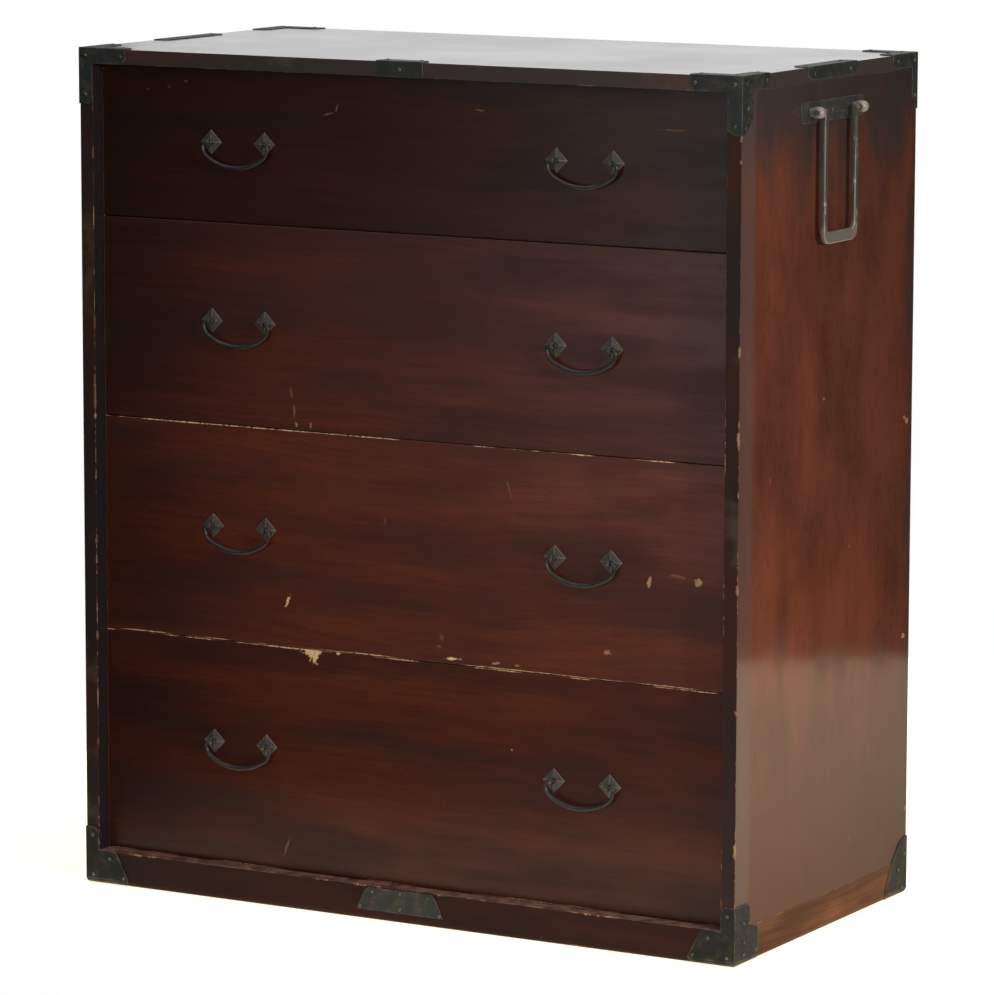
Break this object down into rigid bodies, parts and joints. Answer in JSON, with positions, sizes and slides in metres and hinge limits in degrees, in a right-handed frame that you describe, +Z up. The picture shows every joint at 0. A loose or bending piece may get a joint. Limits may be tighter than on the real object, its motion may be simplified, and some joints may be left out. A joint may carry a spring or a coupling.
{
  "type": "isho clothing chest",
  "caption": "Tall lacquered wooden clothing chest with full-width drawers on forged swinging bails, iron corner fittings and a long carrying bail on each side.",
  "frame": {"origin": "middle of the rectangle that the base stands on, on the floor", "axes": "+X to the chest's right as seen from the front, -Y out of the front through the drawers, +Z up"},
  "size_m": [0.9346, 0.465, 1.0345],
  "materials": {
    "case_lacquer": "red-brown lacquer, semi-gloss, vertical grain",
    "front_lacquer": "dark red-brown lacquer, satin, horizontal grain",
    "bare_wood": "planed paulownia, unfinished",
    "sheet_iron": "blackened sheet iron, dull, slightly rusted",
    "handle_iron": "forged iron, worn brown-black",
    "pole_iron": "forged iron, worn grey"
  },
  "bodies": {
    "case": {"top_board": "case_lacquer", "left_side_board": "case_lacquer", "right_side_board": "case_lacquer", "back_panel": "bare_wood", "bottom_board": "bare_wood", "shelf_rail_1": "bare_wood", "shelf_rail_2": "bare_wood", "shelf_rail_3": "bare_wood", "dust_board_1": "bare_wood", "dust_board_2": "bare_wood", "dust_board_3": "bare_wood", "base_front_rail": "case_lacquer", "base_back_rail": "case_lacquer", "base_side_rails": "case_lacquer", "top_corner_irons": "sheet_iron", "base_corner_irons": "sheet_iron", "edge_plates": "sheet_iron", "iron_nails": "sheet_iron", "pole_handle_plates": "sheet_iron", "pole_handle_posts": "pole_iron"},
    "drawer_1": {"drawer_1_front": "front_lacquer", "drawer_1_left_side": "bare_wood", "drawer_1_right_side": "bare_wood", "drawer_1_back": "bare_wood", "drawer_1_bottom": "bare_wood", "drawer_1_rosettes": "handle_iron", "drawer_1_eye_posts": "handle_iron"},
    "drawer_2": {"drawer_2_front": "front_lacquer", "drawer_2_left_side": "bare_wood", "drawer_2_right_side": "bare_wood", "drawer_2_back": "bare_wood", "drawer_2_bottom": "bare_wood", "drawer_2_rosettes": "handle_iron", "drawer_2_eye_posts": "handle_iron"},
    "drawer_3": {"drawer_3_front": "front_lacquer", "drawer_3_left_side": "bare_wood", "drawer_3_right_side": "bare_wood", "drawer_3_back": "bare_wood", "drawer_3_bottom": "bare_wood", "drawer_3_rosettes": "handle_iron", "drawer_3_eye_posts": "handle_iron"},
    "drawer_4": {"drawer_4_front": "front_lacquer", "drawer_4_left_side": "bare_wood", "drawer_4_right_side": "bare_wood", "drawer_4_back": "bare_wood", "drawer_4_bottom": "bare_wood", "drawer_4_rosettes": "handle_iron", "drawer_4_eye_posts": "handle_iron"},
    "drawer_1_left_bail": {"drawer_1_left_bail": "handle_iron"},
    "drawer_1_right_bail": {"drawer_1_right_bail": "handle_iron"},
    "drawer_2_left_bail": {"drawer_2_left_bail": "handle_iron"},
    "drawer_2_right_bail": {"drawer_2_right_bail": "handle_iron"},
    "drawer_3_left_bail": {"drawer_3_left_bail": "handle_iron"},
    "drawer_3_right_bail": {"drawer_3_right_bail": "handle_iron"},
    "drawer_4_left_bail": {"drawer_4_left_bail": "handle_iron"},
    "drawer_4_right_bail": {"drawer_4_right_bail": "handle_iron"},
    "left_pole_bail": {"left_pole_bail": "pole_iron"},
    "right_pole_bail": {"right_pole_bail": "pole_iron"}
  },
  "joints": [
    {"name": "drawer_1_slide", "type": "slide", "parent": "case", "child": "drawer_1", "axis": [0, -1, 0], "range_m": [0, 0.34]},
    {"name": "drawer_2_slide", "type": "slide", "parent": "case", "child": "drawer_2", "axis": [0, -1, 0], "range_m": [0, 0.34]},
    {"name": "drawer_3_slide", "type": "slide", "parent": "case", "child": "drawer_3", "axis": [0, -1, 0], "range_m": [0, 0.34]},
    {"name": "drawer_4_slide", "type": "slide", "parent": "case", "child": "drawer_4", "axis": [0, -1, 0], "range_m": [0, 0.34]},
    {"name": "drawer_1_left_bail_swing", "type": "hinge", "parent": "drawer_1", "child": "drawer_1_left_bail", "pos_m": [-0.237, -0.217, 0.92461], "axis": [-1, 0, 0], "range_deg": [-5, 170]},
    {"name": "drawer_1_right_bail_swing", "type": "hinge", "parent": "drawer_1", "child": "drawer_1_right_bail", "pos_m": [0.237, -0.217, 0.92461], "axis": [-1, 0, 0], "range_deg": [-5, 170]},
    {"name": "drawer_2_left_bail_swing", "type": "hinge", "parent": "drawer_2", "child": "drawer_2_left_bail", "pos_m": [-0.237, -0.217, 0.70906], "axis": [-1, 0, 0], "range_deg": [-5, 170]},
    {"name": "drawer_2_right_bail_swing", "type": "hinge", "parent": "drawer_2", "child": "drawer_2_right_bail", "pos_m": [0.237, -0.217, 0.70906], "axis": [-1, 0, 0], "range_deg": [-5, 170]},
    {"name": "drawer_3_left_bail_swing", "type": "hinge", "parent": "drawer_3", "child": "drawer_3_left_bail", "pos_m": [-0.237, -0.217, 0.4588], "axis": [-1, 0, 0], "range_deg": [-5, 170]},
    {"name": "drawer_3_right_bail_swing", "type": "hinge", "parent": "drawer_3", "child": "drawer_3_right_bail", "pos_m": [0.237, -0.217, 0.4588], "axis": [-1, 0, 0], "range_deg": [-5, 170]},
    {"name": "drawer_4_left_bail_swing", "type": "hinge", "parent": "drawer_4", "child": "drawer_4_left_bail", "pos_m": [-0.237, -0.217, 0.19245], "axis": [-1, 0, 0], "range_deg": [-5, 170]},
    {"name": "drawer_4_right_bail_swing", "type": "hinge", "parent": "drawer_4", "child": "drawer_4_right_bail", "pos_m": [0.237, -0.217, 0.19245], "axis": [-1, 0, 0], "range_deg": [-5, 170]},
    {"name": "left_pole_bail_swing", "type": "hinge", "parent": "case", "child": "left_pole_bail", "pos_m": [-0.461, 0, 0.98], "axis": [0, 1, 0], "range_deg": [-2, 180]},
    {"name": "right_pole_bail_swing", "type": "hinge", "parent": "case", "child": "right_pole_bail", "pos_m": [0.461, 0, 0.98], "axis": [0, -1, 0], "range_deg": [-2, 180]}
  ]
}
